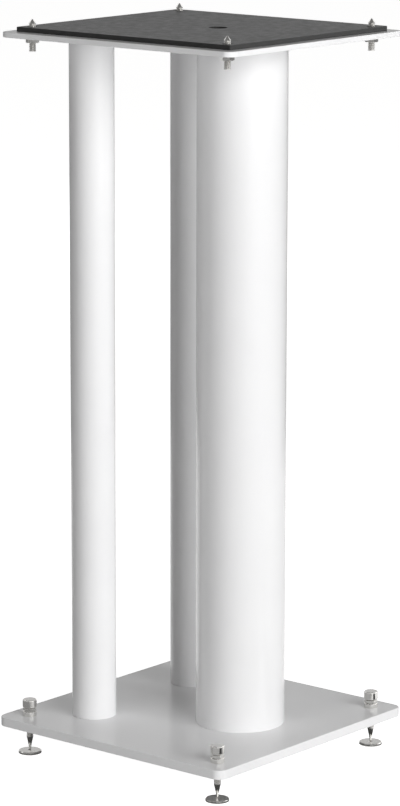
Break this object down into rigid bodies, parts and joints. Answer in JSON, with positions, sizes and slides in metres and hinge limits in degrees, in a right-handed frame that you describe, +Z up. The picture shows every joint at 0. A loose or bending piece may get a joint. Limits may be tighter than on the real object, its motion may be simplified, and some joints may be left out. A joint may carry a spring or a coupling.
{
  "type": "speaker stand",
  "caption": "Floor stand for a loudspeaker: steel base plate on adjustable spiked feet, round columns, and a padded top plate with short locking spikes.",
  "frame": {"origin": "on the floor, under the middle of the base plate", "axes": "+Z up along the columns; the front, where the thick column stands, faces -Y"},
  "size_m": [0.25, 0.25, 0.6334],
  "materials": {
    "white_paint": "smooth satin white powder coat",
    "grey_mat": "matt dark grey rubber mat",
    "polished_metal": "polished nickel plate",
    "zinc_steel": "bright zinc plate"
  },
  "bodies": {
    "frame": {"base_plate": "white_paint", "top_plate": "white_paint", "mat": "grey_mat", "front_column": "white_paint", "front_column_base_plug": "zinc_steel", "front_column_top_plug": "zinc_steel", "rear_left_column": "white_paint", "rear_left_column_base_plug": "zinc_steel", "rear_left_column_top_plug": "zinc_steel", "rear_right_column": "white_paint", "rear_right_column_base_plug": "zinc_steel", "rear_right_column_top_plug": "zinc_steel", "front_column_base_screw_left": "zinc_steel", "front_column_base_screw_right": "zinc_steel", "rear_left_column_base_screw_centre": "zinc_steel", "rear_right_column_base_screw_centre": "zinc_steel", "front_column_top_screw_left": "zinc_steel", "front_column_top_screw_right": "zinc_steel", "rear_left_column_top_screw_centre": "zinc_steel", "rear_right_column_top_screw_centre": "zinc_steel", "foot_bush_front_left": "polished_metal", "foot_bush_front_right": "polished_metal", "foot_bush_rear_left": "polished_metal", "foot_bush_rear_right": "polished_metal"},
    "disc_front_left": {"floor_disc_front_left": "polished_metal"},
    "disc_front_right": {"floor_disc_front_right": "polished_metal"},
    "disc_rear_left": {"floor_disc_rear_left": "polished_metal"},
    "disc_rear_right": {"floor_disc_rear_right": "polished_metal"},
    "screw_front_left": {"foot_spike_front_left": "polished_metal", "foot_knob_front_left": "polished_metal"},
    "screw_front_right": {"foot_spike_front_right": "polished_metal", "foot_knob_front_right": "polished_metal"},
    "screw_rear_left": {"foot_spike_rear_left": "polished_metal", "foot_knob_rear_left": "polished_metal"},
    "screw_rear_right": {"foot_spike_rear_right": "polished_metal", "foot_knob_rear_right": "polished_metal"},
    "jam_nut_front_left": {"foot_jam_nut_front_left": "polished_metal"},
    "jam_nut_front_right": {"foot_jam_nut_front_right": "polished_metal"},
    "jam_nut_rear_left": {"foot_jam_nut_rear_left": "polished_metal"},
    "jam_nut_rear_right": {"foot_jam_nut_rear_right": "polished_metal"},
    "spike_front_left": {"top_spike_front_left": "polished_metal"},
    "spike_front_right": {"top_spike_front_right": "polished_metal"},
    "spike_rear_left": {"top_spike_rear_left": "polished_metal"},
    "spike_rear_right": {"top_spike_rear_right": "polished_metal"},
    "spike_nut_front_left": {"top_spike_nut_front_left": "polished_metal"},
    "spike_nut_front_right": {"top_spike_nut_front_right": "polished_metal"},
    "spike_nut_rear_left": {"top_spike_nut_rear_left": "polished_metal"},
    "spike_nut_rear_right": {"top_spike_nut_rear_right": "polished_metal"}
  },
  "joints": [
    {"name": "foot_height_front_left", "type": "slide", "parent": "frame", "child": "disc_front_left", "axis": [0, 0, 1], "range_m": [0, 0.01]},
    {"name": "foot_height_front_right", "type": "slide", "parent": "frame", "child": "disc_front_right", "axis": [0, 0, 1], "range_m": [0, 0.01]},
    {"name": "foot_height_rear_left", "type": "slide", "parent": "frame", "child": "disc_rear_left", "axis": [0, 0, 1], "range_m": [0, 0.01]},
    {"name": "foot_height_rear_right", "type": "slide", "parent": "frame", "child": "disc_rear_right", "axis": [0, 0, 1], "range_m": [0, 0.01]},
    {"name": "foot_turn_front_left", "type": "hinge", "parent": "disc_front_left", "child": "screw_front_left", "pos_m": [-0.105, -0.105, 0.0014], "axis": [0, 0, 1], "range_deg": [0, 3601]},
    {"name": "foot_turn_front_right", "type": "hinge", "parent": "disc_front_right", "child": "screw_front_right", "pos_m": [0.105, -0.105, 0.0014], "axis": [0, 0, 1], "range_deg": [0, 3601]},
    {"name": "foot_turn_rear_left", "type": "hinge", "parent": "disc_rear_left", "child": "screw_rear_left", "pos_m": [-0.105, 0.105, 0.0014], "axis": [0, 0, 1], "range_deg": [0, 3601]},
    {"name": "foot_turn_rear_right", "type": "hinge", "parent": "disc_rear_right", "child": "screw_rear_right", "pos_m": [0.105, 0.105, 0.0014], "axis": [0, 0, 1], "range_deg": [0, 3601]},
    {"name": "foot_lock_front_left", "type": "hinge", "parent": "frame", "child": "jam_nut_front_left", "pos_m": [-0.105, -0.105, 0.0375], "axis": [0, 0, 1], "range_deg": [0, 90]},
    {"name": "foot_lock_front_right", "type": "hinge", "parent": "frame", "child": "jam_nut_front_right", "pos_m": [0.105, -0.105, 0.0375], "axis": [0, 0, 1], "range_deg": [0, 90]},
    {"name": "foot_lock_rear_left", "type": "hinge", "parent": "frame", "child": "jam_nut_rear_left", "pos_m": [-0.105, 0.105, 0.0375], "axis": [0, 0, 1], "range_deg": [0, 90]},
    {"name": "foot_lock_rear_right", "type": "hinge", "parent": "frame", "child": "jam_nut_rear_right", "pos_m": [0.105, 0.105, 0.0375], "axis": [0, 0, 1], "range_deg": [0, 90]},
    {"name": "top_spike_height_front_left", "type": "slide", "parent": "frame", "child": "spike_front_left", "axis": [0, 0, 1], "range_m": [-0.0065, 0.004]},
    {"name": "top_spike_height_front_right", "type": "slide", "parent": "frame", "child": "spike_front_right", "axis": [0, 0, 1], "range_m": [-0.0065, 0.004]},
    {"name": "top_spike_height_rear_left", "type": "slide", "parent": "frame", "child": "spike_rear_left", "axis": [0, 0, 1], "range_m": [-0.0065, 0.004]},
    {"name": "top_spike_height_rear_right", "type": "slide", "parent": "frame", "child": "spike_rear_right", "axis": [0, 0, 1], "range_m": [-0.0065, 0.004]},
    {"name": "top_lock_front_left", "type": "hinge", "parent": "frame", "child": "spike_nut_front_left", "pos_m": [-0.095, -0.105, 0.6185], "axis": [0, 0, -1], "range_deg": [0, 90]},
    {"name": "top_lock_front_right", "type": "hinge", "parent": "frame", "child": "spike_nut_front_right", "pos_m": [0.095, -0.105, 0.6185], "axis": [0, 0, -1], "range_deg": [0, 90]},
    {"name": "top_lock_rear_left", "type": "hinge", "parent": "frame", "child": "spike_nut_rear_left", "pos_m": [-0.095, 0.105, 0.6185], "axis": [0, 0, -1], "range_deg": [0, 90]},
    {"name": "top_lock_rear_right", "type": "hinge", "parent": "frame", "child": "spike_nut_rear_right", "pos_m": [0.095, 0.105, 0.6185], "axis": [0, 0, -1], "range_deg": [0, 90]}
  ],
  "couplings": [
    {"joint": "foot_turn_front_left", "follows": "foot_height_front_left", "rad_per_m": 6283.2},
    {"joint": "foot_turn_front_right", "follows": "foot_height_front_right", "rad_per_m": 6283.2},
    {"joint": "foot_turn_rear_left", "follows": "foot_height_rear_left", "rad_per_m": 6283.2},
    {"joint": "foot_turn_rear_right", "follows": "foot_height_rear_right", "rad_per_m": 6283.2}
  ]
}
